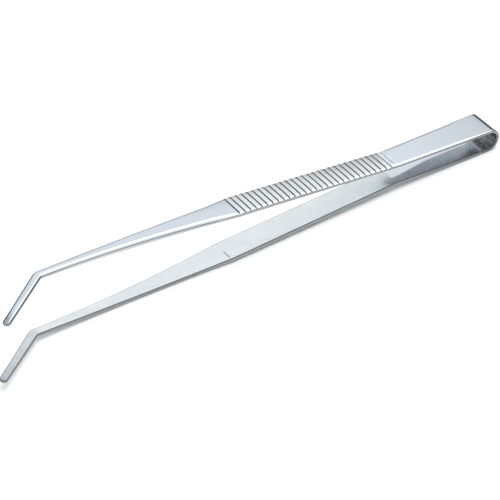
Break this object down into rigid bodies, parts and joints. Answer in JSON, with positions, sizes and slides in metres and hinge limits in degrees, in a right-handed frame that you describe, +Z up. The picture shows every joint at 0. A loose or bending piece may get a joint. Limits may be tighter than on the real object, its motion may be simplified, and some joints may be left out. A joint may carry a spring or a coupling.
{
  "type": "stamp tongs",
  "caption": "Sprung stamp tongs folded from one steel strip, with a round bow, flat legs, ribbed finger grips, tapered shanks and narrow tips bent to one side.",
  "frame": {"origin": "on the table that the tongs lie on, under the middle of their outer box", "axes": "+Z up from the table; +X along the tongs from the tips towards the bow; the tips bend towards -Y"},
  "size_m": [0.1552, 0.0156, 0.0207],
  "materials": {
    "polished_steel": "polished stainless steel with faint lengthwise polishing lines",
    "ribbed_steel": "polished stainless steel, ribs brushed across, grooves dull and darker",
    "satin_steel": "stainless steel, outer face polished, inner gripping face satin"
  },
  "bodies": {
    "bow": {"spring_bow": "polished_steel"},
    "upper_arm": {"upper_leg": "polished_steel", "upper_grip": "ribbed_steel", "upper_shank": "polished_steel", "upper_tip": "satin_steel"},
    "lower_arm": {"lower_leg": "polished_steel", "lower_grip": "ribbed_steel", "lower_shank": "polished_steel", "lower_tip": "satin_steel"}
  },
  "joints": [
    {"name": "upper_arm_squeeze", "type": "hinge", "parent": "bow", "child": "upper_arm", "pos_m": [0.06027, 0.00359, 0.00656], "axis": [0, -1, 0], "range_deg": [0, 3.34], "stiffness_Nm_per_rad": 3},
    {"name": "lower_arm_squeeze", "type": "hinge", "parent": "bow", "child": "lower_arm", "pos_m": [0.06001, 0.00359, 0.00176], "axis": [0, 1, 0], "range_deg": [0, 3.34], "stiffness_Nm_per_rad": 3}
  ],
  "couplings": [
    {"joint": "lower_arm_squeeze", "follows": "upper_arm_squeeze", "ratio": 1}
  ]
}
